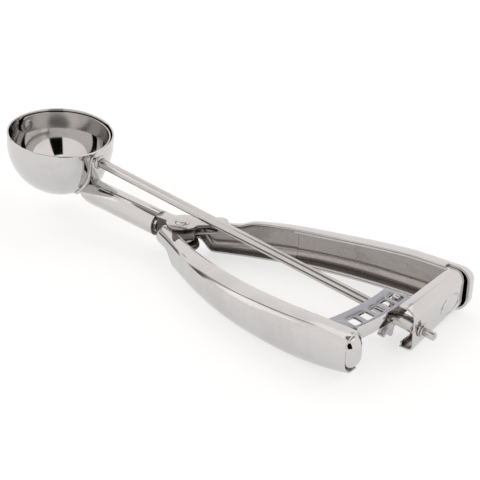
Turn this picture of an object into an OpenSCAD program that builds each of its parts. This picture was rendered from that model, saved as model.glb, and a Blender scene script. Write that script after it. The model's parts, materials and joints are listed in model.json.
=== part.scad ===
// Squeeze-handle ice cream scoop.
// A half-round bowl sits on a tube neck. Two channel handles are riveted together
// behind the neck. Squeezing the moving handle drives a curved rack over a pinion,
// the pinion turns the long drive rod, and the rod sweeps a blade through the bowl.
//
// Frame while modelling: the pivot axis is Z, the table is z = 0, +X runs to the
// rear of the handles and +Y to the fixed handle. stand() then shifts the finished
// part so that the origin is under the middle of its length.

/* [Bowl] */
// Inside diameter of the bowl
bowl_bore = 50; // [46:0.5:54]
// Thickness of the bowl's wall
bowl_wall = 1; // [0.8:0.1:1.4]
// Height of the straight band above the bowl's centre
bowl_band = 5.6; // [5.2:0.1:8]
// Height of the bowl's centre above the table
bowl_lift = 36.4; // [35.4:0.2:37.4]
// Distance from the bowl's centre to the handles' pivot
reach = 79.2; // [75:0.5:90]

/* [Blade] */
// Width of the scraper blade
blade_w = 9.5; // [7:0.5:10]
// Thickness of the scraper blade
blade_t = 0.8; // [0.6:0.1:1.2]
// Gap between the blade and the bowl
blade_gap = 0.3; // [0.2:0.05:0.5]
// Diameter of the pin that carries the blade's free end
blade_pin_d = 3; // [2.5:0.1:3.5]

/* [Drive rod] */
// Diameter of the drive rod
rod_d = 4.5; // [4:0.1:5]
// Slope of the drive rod down to the rear, in degrees
rod_tilt = 7.6; // [7.4:0.1:7.8]
// Diameter of the rod's rear journal
journal_d = 3.5; // [3:0.1:3.7]
// Length of journal that stands out behind the sleeve
journal_tail = 6.6; // [4:0.2:9]

/* [Neck] */
// Outside diameter of the neck tube
neck_d = 12.5; // [11:0.5:13]
// Thickness of the neck tube's wall
neck_wall = 0.8; // [0.6:0.1:1.2]
// Slope of the neck down to the rear, in degrees
neck_tilt = 5; // [4:0.25:5.5]
// Height of the neck's axis at the tube's rear end
neck_end_z = 12.2; // [11.8:0.1:12.6]
// Distance from the tube's rear end to the pivot
neck_setback = 14.5; // [13.5:0.5:17]
// Length of the yoke's spigot inside the neck tube
spigot_len = 12; // [8:1:20]

/* [Pivot] */
// Diameter of the pivot rivet
rivet_d = 4; // [3.5:0.1:4.5]
// Diameter of the rivet's heads
rivet_head_d = 7.4; // [6.5:0.1:8.5]
// Radius of the round lugs
lug_r = 7.6; // [7:0.1:8]
// Thickness of each lug
lug_t = 1.2; // [1:0.1:1.4]
// Height of the top face of the upper lug
lug_top = 17.4; // [17.2:0.1:17.8]
// Height of the bottom face of the lower lug
lug_bottom = 5.2; // [4.8:0.1:5.4]

/* [Handles] */
// Distance from the pivot to the place where the handles end
handle_len = 115; // [113:0.5:117]
// Distance of the handle's inner edge from the middle plane at the rear
spread = 33; // [32.4:0.1:33.6]
// Depth of the channel at the nose
depth_front = 5.6; // [5:0.1:6.5]
// Depth of the channel at the rear
depth_rear = 9.2; // [8.8:0.1:10]
// Height of the channel's top edge at the rear
height_rear = 21.2; // [21:0.1:21.8]
// Thickness of the shells and arms
shell_t = 1; // [0.8:0.1:1.1]
// Rise of the moving handle's lower edge at its rear end
end_rise = 3.4; // [2.6:0.1:3.6]
// Outer radius of the channel's upper edge
top_r = 6; // [5:0.25:6.5]
// Outer radius of the channel's lower edge
low_r = 7.5; // [6:0.25:7.75]
// Gap between a shell and the arm that is nested in it
nest_gap = 0.15; // [0.1:0.05:0.25]

/* [Rack] */
// Distance of the holes' middle line in front of the place where the handles end
rack_setback = 1; // [0.5:0.25:1.5]
// Distance between neighbouring holes
rack_pitch = 6.5; // [6.3:0.05:6.7]
// Number of holes
rack_holes = 5; // [4:1:5]
// Width of each hole along the rack
hole_w = 4.5; // [4.4:0.05:4.7]
// Length of each hole across the rack
hole_l = 5.4; // [5.2:0.1:5.8]
// Thickness of the perforated plate
rack_t = 1.2; // [1:0.1:1.3]
// Plate width on the inner side of the holes' middle line
rack_in = 7.4; // [6:0.2:8]
// Plate width on the outer side of the holes' middle line
rack_out = 4.2; // [4.1:0.1:4.6]
// Height of the wall that hangs from the plate's outer edge
rack_wall_h = 5.9; // [5:0.1:6.2]

/* [Pinion] */
// Number of teeth
teeth = 8; // [8:1:9]
// Width of a tooth
tooth_w = 2.3; // [2:0.05:2.4]
// Height of a tooth above the pitch circle
tooth_top = 1.7; // [1.4:0.1:1.9]
// Length of the toothed part along the rod
pinion_t = 3; // [2:0.1:3.2]
// Diameter of the pinion's hub
hub_d = 6; // [5.6:0.1:6.2]

/* [Sleeve] */
// Outer radius of the sleeve's lower edge at the mouth
sleeve_low_r = 2.5; // [2.2:0.1:4]
// Width of the sleeve's bottom flange
sleeve_foot_w = 6.5; // [5:0.1:8]
// How far the sleeve reaches past the middle plane towards the moving handle
sleeve_mouth = 5.6; // [5:0.1:5.8]
// Length of the sleeve's leg inside the fixed handle
leg_len = 55; // [40:1:70]

/* [Fits] */
// Radial clearance of parts that turn
running_fit = 0.06; // [0.03:0.01:0.1]
// Radial clearance of parts that are pressed or riveted together
seat_fit = 0.03; // [0.02:0.01:0.05]
// Gap between faces that slide past each other
slide_gap = 0.2; // [0.15:0.05:0.3]

/* [Spring] */
// Diameter of the spring wire
wire_d = 1.3; // [1.1:0.05:1.4]
// Mean radius of the spring's coil
coil_r = 4.9; // [4.6:0.1:5.2]
// Number of turns of the fixed part of the coil
coil_turns = 3; // [2:1:3]

/* [Hidden] */
$fn = 72;

steel = [0.80, 0.80, 0.81];
satin = [0.70, 0.70, 0.71];
dark = [0.52, 0.53, 0.56];
brass = [0.72, 0.66, 0.50];

rack_r = handle_len - rack_setback;
nest = shell_t + nest_gap;
// Rear corner: its inner side stays clear of the rack's outer edge. Then the radii in
// plan and the depth of the shell and of the sleeve
cross_gap = 0.4;
cross_x = handle_len - rack_setback + rack_out + cross_gap;
turn_r = 4;
fan_r = 0.4;
shell_depth = 9.9;
sleeve_depth = 9;
bowl_ri = bowl_bore / 2;
bowl_ro = bowl_ri + bowl_wall;
rod_r = rod_d / 2;
journal_r = journal_d / 2;
blade_ro = bowl_ri - blade_gap;
blade_ri = blade_ro - blade_t;
pin_r = blade_pin_d / 2;
pin_head_h = 0.8;
pin_head_r = pin_r + 1.1;
// Outer face of the inner pin heads, clear of the blade's curved inside
head_s = blade_ri - 0.25;
neck_r = neck_d / 2;
neck_ri = neck_r - neck_wall;
rivet_r = rivet_d / 2;

// Rack and pinion: equal pitch on the rack's arc and on the pinion's circle
pitch_r = rack_pitch * teeth / (2 * PI);
tip_r = pitch_r + tooth_top;
hole_step = rack_pitch / rack_r * 180 / PI;
squeeze = (rack_holes - 1) * hole_step;
pinion_x = rack_r - pitch_r * sin(rod_tilt);
pinion_s = (reach + pinion_x) / cos(rod_tilt);
pinion_z = bowl_lift - pinion_s * sin(rod_tilt);
rack_z = pinion_z + pitch_r * cos(rod_tilt) - rack_t / 2;
rack_ri = rack_r - rack_in;
rack_ro = rack_r + rack_out;

// Distance along the rod from the bowl's centre to a place behind the pivot
function rod_s(x) = (reach + x) / cos(rod_tilt);
sleeve_back = cross_x + sleeve_depth * (1 - nest / depth_rear);
wall_s = rod_s(sleeve_back - shell_t);
rear_bush_r = journal_r + 1;
bush_flange_t = 0.8;
bush_flange_s = wall_s - (rear_bush_r + 1) * sin(rod_tilt) - bush_flange_t - seat_fit;
shoulder_s = bush_flange_s - slide_gap;
rod_end_s = rod_s(sleeve_back) + journal_tail;

// Middle of the part's length, from the bowl's front pin to the rod's rear end
x_front = -reach - (bowl_ro + pin_head_h) * cos(rod_tilt) - pin_head_r * sin(rod_tilt);
x_rear = -reach + rod_end_s * cos(rod_tilt) + (journal_r - 0.4) * sin(rod_tilt);
x_mid = (x_front + x_rear) / 2;

module stand() {
    translate([-x_mid, 0, 0]) children();
}

// Frame of the rod and the bowl: X runs along the rod from the bowl's centre
module rod_frame() {
    stand() translate([-reach, 0, bowl_lift]) rotate([0, rod_tilt, 0]) children();
}

// A cylinder along the rod's axis, from s0 to s1
module on_rod(s0, s1, r) {
    translate([s0, 0, 0]) rotate([0, 90, 0]) cylinder(r = r, h = s1 - s0);
}

// Frame of the neck: X runs along the tube, with 0 at its rear end
module neck_frame() {
    stand() translate([-neck_setback, 0, neck_end_z]) rotate([0, neck_tilt, 0]) children();
}

// ---- Handle line -------------------------------------------------------------

// The line starts at the nose, leaves it towards bend_a and reaches the rear past bend_b
nose = [-6, 4];
bend_a = [25.8, 17.4];
bend_b = [0.46 * handle_len, spread];
line = [nose, bend_a, bend_b, [handle_len, spread]];

function mix(a, b, t) = a + (b - a) * t;
function bez(p, t) = pow(1 - t, 3) * p[0] + 3 * pow(1 - t, 2) * t * p[1]
    + 3 * (1 - t) * t * t * p[2] + pow(t, 3) * p[3];
function slope(p, t) = pow(1 - t, 2) * (p[1] - p[0]) + 2 * (1 - t) * t * (p[2] - p[1])
    + t * t * (p[3] - p[2]);
function unit(v) = v / norm(v);
function outward(v) = [-v[1], v[0]];
function ease(u) = (1 - cos(180 * min(1, max(0, u)))) / 2;

// Edge heights and depth of the channel along the handle
nose_top = lug_top - lug_t - slide_gap;
nose_bottom = lug_bottom + lug_t + slide_gap;
rise_start = 18;
rise_end = handle_len - 15;
function edge_top(x) = mix(nose_top, height_rear,
    min(1, max(0, (x - rise_start) / (rise_end - rise_start))));
drop_start = 2.5;
drop_len = 6.5;
function edge_bottom(x) = nose_bottom * (1 - ease((x - drop_start) / drop_len));
// The fixed handle's upper edge swells behind the yoke's arm
swell_h = 1.7;
swell_start = 20;
swell_len = 8;
swell_fade = 45;
function swell(x) = swell_h * ease((x - swell_start) / swell_len)
    * (1 - ease((x - swell_start - swell_len) / swell_fade));
end_start = handle_len - 30;
function end_lift(x) = end_rise * pow(max(0, (x - end_start) / (handle_len - end_start)), 2);
function depth(t) = mix(depth_front, depth_rear, ease(t * 1.3));

// Half-open channel section [offset, height] with the radii rb below and rt above,
// shrunk by e on its outer side
section_n = 7;
function quarter(cx, cz, r, a0) = [for (i = [0:section_n]) let(a = a0 + 90 * i / section_n)
    [cx + r * cos(a), cz + r * sin(a)]];
function channel(d, z0, z1, rb, rt, e) = concat(
    [[0, z0 + e]],
    quarter(d - rb, z0 + rb, rb - e, -90),
    quarter(d - rt, z1 - rt, rt - e, 0),
    [[0, z1 - e]]);
function reversed(v) = [for (i = [len(v) - 1:-1:0]) v[i]];
function channel_ring(d, z0, z1, rb, rt, e) =
    concat(channel(d, z0, z1, rb, rt, e), reversed(channel(d, z0, z1, rb, rt, e + shell_t)));

// A ring of the channel at the plan point p, opening away from the direction n
low_share = 0.38;
function station(p, n, d, z0, z1, e) = let(
        h = z1 - z0 - 0.2,
        rb = min(low_r, h * low_share, d - 0.3),
        rt = min(top_r, h * (1 - low_share), d - 0.3))
    [for (q = channel_ring(d, z0, z1, rb, rt, e))
        [p[0] + n[0] * q[0], p[1] + n[1] * q[0], q[1]]];

// Ring at the place t on the handle line: up = 0 for the fixed handle, 1 for the moving one
function ring(t, e, up) = let(p = bez(line, t))
    station(p, outward(unit(slope(line, t))), depth(t), edge_bottom(p[0]) + up * end_lift(p[0]),
        edge_top(p[0]) + (1 - up) * swell(p[0]), e);
function run_rings(t0, t1, e, steps, up) =
    [for (i = [0:steps]) ring(mix(t0, t1, i / steps), e, up)];

// Rear corner: the web turns with a small radius in plan, and the flanges fan out from
// the inner corner. A ring spans from the point p along the vector v.
function fan_ring(p, v, e, rb) =
    [for (q = channel_ring(depth_rear, 0, height_rear, rb, top_r, e)) let(s = q[0] / depth_rear)
        [p[0] + s * v[0], p[1] + s * v[1], q[1]]];
function turn_ring(a, d, e) = let(
        n = [sin(a), cos(a)],
        p = [cross_x - fan_r, spread - fan_r] + fan_r * n,
        web = [cross_x + d - turn_r, spread + depth_rear - turn_r] + turn_r * n)
    fan_ring(p, web - p, e, low_r);
function turn_rings(d, e, steps) = [for (i = [0:steps]) turn_ring(90 * i / steps, d, e)];
function cross_ring(y, d, e, rb) = fan_ring([cross_x, y], [d, 0], e, rb);

// Solid through rings that run counter-clockwise seen against the direction of travel
module skin(rings) {
    m = len(rings[0]);
    n = len(rings);
    last = (n - 1) * m;
    sides = [for (i = [0:n - 2], j = [0:m - 1]) let(
            a = i * m + j,
            b = i * m + (j + 1) % m)
        each [[a, b + m, b], [a, a + m, b + m]]];
    caps = [for (j = [0:m / 2 - 2]) let(k = m - 1 - j)
        each [[j, j + 1, k], [j + 1, k - 1, k],
            [last + j, last + k, last + j + 1], [last + j + 1, last + k, last + k - 1]]];
    polyhedron([for (r = rings) each r], concat(sides, caps));
}

// ---- Bowl group --------------------------------------------------------------

module bowl() {
    color(steel) rod_frame() difference() {
        union() {
            intersection() {
                sphere(r = bowl_ro);
                translate([0, 0, -bowl_ro]) cube([3 * bowl_ro, 3 * bowl_ro, 2 * bowl_ro],
                    center = true);
            }
            cylinder(r = bowl_ro, h = bowl_band);
        }
        sphere(r = bowl_ri);
        cylinder(r = bowl_ri, h = bowl_band + 1);
        on_rod(0, bowl_ro + 1, bush_r + seat_fit);
        on_rod(-bowl_ro - 1, 0, pin_r + seat_fit);
    }
}

// Strap that follows the bowl's outside from the neck up to the rod
strap_w = 11;
strap_t = 1.2;
strap_ri = bowl_ro + seat_fit;
strap_low = -20;
bush_r = rod_r + 1.1;

module bowl_bracket() {
    color(steel) rod_frame() difference() {
        intersection() {
            sphere(r = strap_ri + strap_t);
            union() {
                on_rod(bowl_ri / 2, bowl_ro + 4, strap_w / 2);
                translate([bowl_ri / 4, -strap_w / 2, strap_low])
                    cube([bowl_ro, strap_w, -strap_low]);
            }
        }
        sphere(r = strap_ri);
        cylinder(r = strap_ri, h = bowl_band + 1);
        on_rod(0, bowl_ro + 5, bush_r + seat_fit);
    }
}

module front_bush() {
    color(dark) rod_frame() difference() {
        on_rod(bowl_ri + 0.1, bowl_ro + strap_t + 2.4, bush_r);
        on_rod(bowl_ri - 1, bowl_ro + 6, rod_r + running_fit);
    }
}

module blade_pin() {
    color(dark) rod_frame() {
        on_rod(-bowl_ro - pin_head_h / 2, -blade_ri + pin_head_h / 2, pin_r);
        on_rod(-bowl_ro - pin_head_h, -bowl_ro - seat_fit, pin_head_r);
        on_rod(-head_s, -head_s + pin_head_h, pin_head_r);
    }
}

module scraper_blade() {
    color(satin) rod_frame() difference() {
        intersection() {
            sphere(r = blade_ro);
            union() {
                rotate([0, 90, 0]) cylinder(r = blade_w / 2, h = 2 * bowl_ro, center = true);
                translate([-bowl_ro, 0, -blade_w / 2]) cube([2 * bowl_ro, bowl_ro, blade_w]);
            }
        }
        sphere(r = blade_ri);
        on_rod(0, bowl_ro, tip_pin_r + seat_fit);
        on_rod(-bowl_ro, 0, pin_r + running_fit);
    }
}

// ---- Neck and pivot ----------------------------------------------------------

neck_len = reach - neck_setback - bowl_ri / 2;

// The tube is closed in front by a nose that curves up under the bowl: its radius, where
// it starts behind the front end, and how far it stands below the tube
nose_round = 15;
nose_from = 18;
nose_sink = 0.15;
module neck_body(wall, back) {
    intersection() {
        on_rod(-neck_len, back, neck_r - wall);
        translate([nose_from - neck_len, 0, 0]) {
            translate([0, 0, nose_round - neck_r - nose_sink]) rotate([90, 0, 0])
                cylinder(r = nose_round - wall, h = 2 * neck_d, center = true);
            translate([0, -neck_d, -neck_d]) cube([neck_len, 2 * neck_d, 2 * neck_d]);
        }
    }
}

module neck_tube() {
    color(steel) difference() {
        neck_frame() difference() {
            neck_body(0, 0);
            neck_body(neck_wall, 1);
        }
        rod_frame() sphere(r = bowl_ro + strap_t + 2 * seat_fit);
    }
}

// Flat outline of a yoke lug: round at the pivot, with a tongue to the neck
yoke_w = lug_r - 1.2;
module yoke_outline() {
    circle(r = lug_r);
    translate([-neck_setback + yoke_back, -yoke_w / 2]) square([neck_setback - yoke_back, yoke_w]);
}

// Arm of the upper lug that lies on the fixed handle's flange
arm_w = 8;
arm_reach = 21;
arm_turn = 42;
module yoke_arm() {
    rotate(arm_turn) translate([0, -arm_w / 2]) square([arm_reach - arm_w / 2, arm_w]);
    rotate(arm_turn) translate([arm_reach - arm_w / 2, 0]) circle(r = arm_w / 2);
}

yoke_back = 0.6;
module pivot_yoke() {
    color(steel) difference() {
        union() {
            neck_frame() on_rod(-spigot_len, 0, neck_ri - seat_fit);
            stand() {
                translate([0, 0, lug_top - lug_t]) linear_extrude(lug_t) {
                    yoke_outline();
                    yoke_arm();
                }
                translate([0, 0, lug_bottom]) linear_extrude(lug_t) yoke_outline();
                translate([-neck_setback + yoke_back, -yoke_w / 2, lug_bottom])
                    cube([lug_t, yoke_w, lug_top - lug_bottom]);
            }
            neck_frame() on_rod(-1, lug_t, neck_ri - 1);
        }
        stand() cylinder(r = rivet_r + seat_fit, h = height_rear);
    }
}

rivet_head_h = 1;
rivet_head_edge = 1;
module rivet_head() {
    cylinder(r1 = rivet_head_d / 2, r2 = rivet_head_d / 2 - rivet_head_edge, h = rivet_head_h);
}

module pivot_rivet() {
    color(satin) stand() {
        translate([0, 0, lug_bottom - rivet_head_h / 2])
            cylinder(r = rivet_r, h = lug_top - lug_bottom + rivet_head_h);
        translate([0, 0, lug_top + seat_fit]) rivet_head();
        translate([0, 0, lug_bottom - seat_fit]) mirror([0, 0, 1]) rivet_head();
    }
}

inner_low = nose_bottom + lug_t;
inner_high = nose_top - lug_t;
spacer_wall = 1.1;

module pivot_spacer() {
    color(dark) stand() difference() {
        translate([0, 0, inner_low + slide_gap])
            cylinder(r = rivet_r + spacer_wall, h = inner_high - inner_low - 2 * slide_gap);
        cylinder(r = rivet_r + running_fit, h = height_rear);
    }
}

// ---- Handles -----------------------------------------------------------------

shell_steps = 30;
pivot_relief = lug_r + 0.5;
// Distance of the fixed shell's cut end behind the handle line
wrap_end = 2.5;

module fixed_handle_shell() {
    color(steel) stand() difference() {
        skin(concat(run_rings(0, 1, 0, shell_steps, 0), turn_rings(shell_depth, 0, 6),
            [cross_ring(spread - 2 * fan_r, shell_depth, 0, low_r)]));
        cylinder(r = pivot_relief, h = height_rear);
        translate([cross_x - 1, spread - 2, -1])
            cube([2 * shell_depth, 2 + wrap_end, height_rear + 2]);
    }
}

// Lugs of the moving handle: radius, and the tongue that joins the upper one to the shell
nose_lug_r = lug_r - 0.4;
tongue_turn = -48;
tongue_l = 14;
tongue_w = 10;

module moving_handle_shell() {
    color(steel) stand() difference() {
        union() {
            mirror([0, 1, 0]) skin(concat(run_rings(0, 1, 0, shell_steps, 1),
                [station([shell_end, spread], [0, 1], depth_rear, end_lift(shell_end),
                    height_rear, 0)]));
            translate([0, 0, nose_top - lug_t]) linear_extrude(lug_t) {
                circle(r = nose_lug_r);
                rotate(tongue_turn) translate([0, -tongue_w / 2]) square([tongue_l, tongue_w]);
            }
            translate([0, 0, nose_bottom]) cylinder(r = nose_lug_r, h = lug_t);
        }
        cylinder(r = rivet_r + running_fit, h = height_rear);
    }
}

// Rear end of the moving shell, a little behind the end of the handle line
shell_end = handle_len + 2.5;
// Place on the handle line where the rack arm's flanges start to narrow
leg_stop = 0.985;

// Place on the handle line where a leg of the given length starts
function leg_start(l) = 1 - l / handle_len;

// Leg in the fixed handle, rear corner and cross part with a short foot and a lip
foot_cut = depth_rear - nest - sleeve_foot_w;
lip_h = 2.6;
module sleeve_arm() {
    color(steel) difference() {
        stand() {
            difference() {
                skin(concat(run_rings(leg_start(leg_len), 1, nest, 14, 0),
                    turn_rings(sleeve_depth, nest, 8),
                    [cross_ring(spread - 2 * fan_r, sleeve_depth, nest, low_r),
                    cross_ring(-sleeve_mouth, sleeve_depth, nest, sleeve_low_r + nest)]));
                translate([cross_x - 1, -sleeve_mouth - 1, 0])
                    cube([foot_cut + 1, sleeve_mouth + spread - 1, height_rear / 2]);
            }
            translate([cross_x + foot_cut, -sleeve_mouth, nest])
                cube([shell_t, 2 * sleeve_mouth, lip_h]);
        }
        rod_frame() on_rod(wall_s - 6, wall_s + 6, rear_bush_r + seat_fit);
    }
}

bush_end_s = rod_s(sleeve_back) + 0.4;
module rear_bush() {
    color(dark) rod_frame() difference() {
        union() {
            on_rod(bush_flange_s, bush_end_s, rear_bush_r);
            on_rod(bush_flange_s, bush_flange_s + bush_flange_t, rear_bush_r + 1);
        }
        on_rod(wall_s - 6, wall_s + 6, journal_r + running_fit);
    }
}

// ---- Rack arm ----------------------------------------------------------------

// Band that leaves the shell: outer radius, turn, and the tail that meets the wall.
// Its top comes down to the plate's level over the first third of the turn.
band_r = 6;
band_turn = 128;
band_tail = 4.3;
band_flange = 5.6;
band_setback = 1.2;
band_steps = 12;
band_c = [handle_len - band_setback, spread + depth_rear - nest - band_r];
band_top = rack_z + rack_t + nest;
function band_ring(a, tail) = let(n = [sin(a), cos(a)])
    station(band_c + (band_r - band_flange) * n + tail * [cos(a), -sin(a)], n,
        band_flange + nest, end_lift(shell_end),
        mix(height_rear, band_top, ease(3 * a / band_turn)), nest);
band_rings = concat([for (i = [0:band_steps]) band_ring(band_turn * i / band_steps, 0)],
    [band_ring(band_turn, band_tail)]);

// Angles at the pivot where the perforated strip starts and ends
rack_start = -asin(spread / rack_ri);
rack_stop = (hole_w / 2 + 1.4) / rack_r * 180 / PI;

// Plate with the wall that hangs from its outer edge, in one turned piece
module rack_strip() {
    top = rack_z + rack_t;
    rotate([0, 0, rack_start]) rotate_extrude(angle = rack_stop - rack_start) polygon([
        [rack_ri, rack_z],
        [rack_ro - shell_t, rack_z],
        [rack_ro - shell_t, top - rack_wall_h],
        [rack_ro, top - rack_wall_h],
        [rack_ro, top],
        [rack_ri, top]]);
}

module rack_hole(a) {
    rotate([0, 0, a]) translate([rack_r, 0, rack_z - 1]) linear_extrude(rack_t + 2) {
        square([hole_l, hole_w - 1.6], center = true);
        square([hole_l - 1.6, hole_w], center = true);
        for (u = [-1, 1], v = [-1, 1])
            translate([u * (hole_l / 2 - 0.8), v * (hole_w / 2 - 0.8)]) circle(r = 0.8);
    }
}

module rack_arm() {
    color(steel) stand() mirror([0, 1, 0])
        skin(concat(run_rings(leg_start(leg_len), leg_stop, nest, 14, 1), band_rings));
}

// The rack is welded to the arm: it is cut back to the band's end and the flange's edge
weld_gap = 0.05;
edge_gap = 0.3;
band_n = [sin(band_turn), cos(band_turn)];
band_end = band_c + band_r * band_n + band_tail * [band_n[1], -band_n[0]];
module gear_rack() {
    reach_out = 2 * band_r;
    color(steel) stand() difference() {
        rack_strip();
        for (i = [0:rack_holes - 1]) rack_hole(-i * hole_step);
        translate([rack_ri * 0.8, edge_gap - spread - reach_out, 0])
            cube([rack_ri, reach_out, height_rear]);
        mirror([0, 1, 0]) translate([band_end[0], band_end[1], 0]) rotate([0, 0, -band_turn])
            translate([weld_gap - reach_out, -reach_out, 0])
                cube([reach_out, 2 * reach_out, height_rear]);
    }
}

// ---- Rod group ---------------------------------------------------------------

tip_pin_r = 1.5;
groove_s = bush_end_s + 0.3;
groove_w = 0.8;

groove_r = journal_r - 0.35;

// Turned part: tip pin with a spread head, rod, journal with a clip groove
module drive_rod() {
    color(satin) rod_frame() rotate([0, 90, 0]) rotate_extrude() polygon([
        [0, head_s - pin_head_h],
        [pin_head_r - 0.4, head_s - pin_head_h],
        [pin_head_r, head_s - pin_head_h + 0.4],
        [pin_head_r, head_s],
        [tip_pin_r, head_s],
        [tip_pin_r, blade_ro + 0.05],
        [rod_r, blade_ro + 0.05],
        [rod_r, shoulder_s],
        [journal_r, shoulder_s],
        [journal_r, groove_s],
        [groove_r, groove_s],
        [groove_r, groove_s + groove_w],
        [journal_r, groove_s + groove_w],
        [journal_r, rod_end_s - 0.4],
        [journal_r - 0.4, rod_end_s],
        [0, rod_end_s]]);
}

module tooth(a) {
    rotate(a) {
        translate([0, -tooth_w / 2]) square([tip_r - tooth_w / 2, tooth_w]);
        translate([tip_r - tooth_w / 2, 0]) circle(r = tooth_w / 2);
    }
}

washer_t = 0.6;
washer_s = shoulder_s - washer_t - 0.05;
hub_end_s = washer_s - 0.05;

module pinion() {
    color(dark) rod_frame() difference() {
        translate([pinion_s - pinion_t / 2, 0, 0]) rotate([0, 90, 0]) union() {
            linear_extrude(pinion_t) {
                circle(r = pitch_r - 2.6);
                for (i = [0:teeth - 1]) tooth(i * 360 / teeth);
            }
            cylinder(r = hub_d / 2, h = hub_end_s - pinion_s + pinion_t / 2);
        }
        on_rod(pinion_s - pinion_t, hub_end_s + 1, rod_r + seat_fit);
    }
}

module thrust_washer() {
    color(brass) rod_frame() difference() {
        on_rod(washer_s, washer_s + washer_t, rod_r + 1.4);
        on_rod(washer_s - 1, washer_s + 2, rod_r + seat_fit);
    }
}

module retaining_clip() {
    t = groove_w - 2 * 0.05;
    color(dark) rod_frame() translate([groove_s + 0.05, 0, 0]) rotate([0, 90, 0]) difference() {
        union() {
            cylinder(r = journal_r + 1.1, h = t);
            translate([-journal_r - 2.2, -0.9, 0]) cube([2.4, 1.8, t]);
        }
        translate([0, 0, -1]) cylinder(r = journal_r - 0.35 + seat_fit, h = t + 2);
        translate([0, -journal_r + 0.6, -1]) cube([10, 2 * (journal_r - 0.6), t + 2]);
    }
}

// ---- Spring ------------------------------------------------------------------

coil_low = inner_low + slide_gap + wire_d / 2;
coil_step = wire_d + 0.12;
wire_sides = 8;
turn_steps = 20;

function coil_point(a, z) = [coil_r * cos(a), coil_r * sin(a), z];
function wire_ring(p, v, r) = let(
        w = unit(v),
        u = unit(cross(w, [0, 0, 1])),
        k = cross(w, u))
    [for (i = [0:wire_sides - 1]) let(b = 360 * i / wire_sides) p + r * (cos(b) * u + sin(b) * k)];

// Rings of wire along a list of points
function wire_rings(pts) = [for (i = [0:len(pts) - 1])
    wire_ring(pts[i], pts[min(i + 1, len(pts) - 1)] - pts[max(i - 1, 0)], wire_d / 2)];

// A leg's far end rests against the handle's web, and its other end runs on to the
// coil, which it meets at a tangent
leg_t = 0.17;
web_gap = wire_d / 2 + 0.15;
// The moving leg sits higher, where the channel's rounded corner comes further in
high_gap = web_gap + 1.8;
function leg_rest(gap) = let(d = depth(leg_t) - shell_t - gap)
    bez(line, leg_t) + d * outward(unit(slope(line, leg_t)));
function tangent(p) = atan2(p[1], p[0]) + acos(coil_r / norm(p));
leg_turn = tangent(leg_rest(web_gap));
coil_end = leg_turn + 360 * coil_turns;
moving_end = 360 * (coil_turns + 1) - tangent(leg_rest(high_gap));
moving_start = coil_end + 6;
moving_z = coil_low + coil_step * (moving_end - leg_turn) / 360;

function coil_arc(a0, a1) = let(n = ceil((a1 - a0) / 360 * turn_steps))
    [for (i = [0:n]) let(a = mix(a0, a1, i / n))
        coil_point(a, coil_low + coil_step * (a - leg_turn) / 360)];

module spring_coil() {
    rest = leg_rest(web_gap);
    color(dark) stand() skin(wire_rings(concat(
        [[rest[0], rest[1], coil_low]], coil_arc(leg_turn, coil_end))));
}

module spring_moving_leg() {
    rest = leg_rest(high_gap);
    color(dark) stand() skin(wire_rings(concat(
        coil_arc(moving_start, moving_end), [[rest[0], -rest[1], moving_z]])));
}

bowl();
bowl_bracket();
front_bush();
blade_pin();
neck_tube();
pivot_yoke();
fixed_handle_shell();
sleeve_arm();
rear_bush();
pivot_rivet();
pivot_spacer();
spring_coil();
moving_handle_shell();
rack_arm();
gear_rack();
spring_moving_leg();
drive_rod();
pinion();
thrust_washer();
retaining_clip();
scraper_blade();
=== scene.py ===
# %% [markdown]
# # A squeeze-handle ice cream scoop
# The scoop is all bright metal: a half-round bowl on a tube neck, two channel handles
# that are riveted together, and a long rod that a curved rack turns. The solids come
# packed and in place. This script dresses them: it gives the sheet metal smooth, thin,
# rounded forms, and each kind of metal its own finish.

import json
import math

import bmesh
import bpy
from mathutils import Matrix, Vector


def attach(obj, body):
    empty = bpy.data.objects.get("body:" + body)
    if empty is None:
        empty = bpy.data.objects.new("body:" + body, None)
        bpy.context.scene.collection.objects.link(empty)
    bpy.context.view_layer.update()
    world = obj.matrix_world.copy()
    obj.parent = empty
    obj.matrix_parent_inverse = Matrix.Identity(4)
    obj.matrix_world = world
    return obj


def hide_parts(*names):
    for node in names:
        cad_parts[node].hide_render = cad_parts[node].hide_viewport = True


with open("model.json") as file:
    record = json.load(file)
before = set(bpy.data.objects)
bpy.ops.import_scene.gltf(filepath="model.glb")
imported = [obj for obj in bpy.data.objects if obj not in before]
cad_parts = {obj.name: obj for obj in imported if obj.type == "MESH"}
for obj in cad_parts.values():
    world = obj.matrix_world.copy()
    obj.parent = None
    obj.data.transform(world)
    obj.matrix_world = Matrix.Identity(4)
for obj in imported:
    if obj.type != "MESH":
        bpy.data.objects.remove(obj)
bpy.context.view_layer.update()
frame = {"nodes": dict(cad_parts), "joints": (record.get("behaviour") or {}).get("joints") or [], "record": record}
nodes = frame["nodes"]
record = frame["record"]
joints = {joint["name"]: joint for joint in frame["joints"]}
body_of_node = {
    node: body for body, members in record["behaviour"]["bodies"].items() for node in members
}
slot_of_node = {part["node"]: part["material_slot"] for part in record["subparts"]}
MM = 0.001

# %% [markdown]
# ## The camera
# A long lens from about half a metre away keeps the bowl and the handles in proportion.
# The view is set by the point that it looks at, by the way it looks from, and by a small
# roll, so each number can be changed by itself.

# %% Camera
LENS_MM = 82.5
SENSOR_MM = 36
CAMERA_DISTANCE = 482.08 * MM
CAMERA_AZIMUTH = 38.493
CAMERA_ELEVATION = 27.514
CAMERA_ROLL = 0.275
CAMERA_TARGET = Vector((22.37, -2.80, 20.90)) * MM


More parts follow.
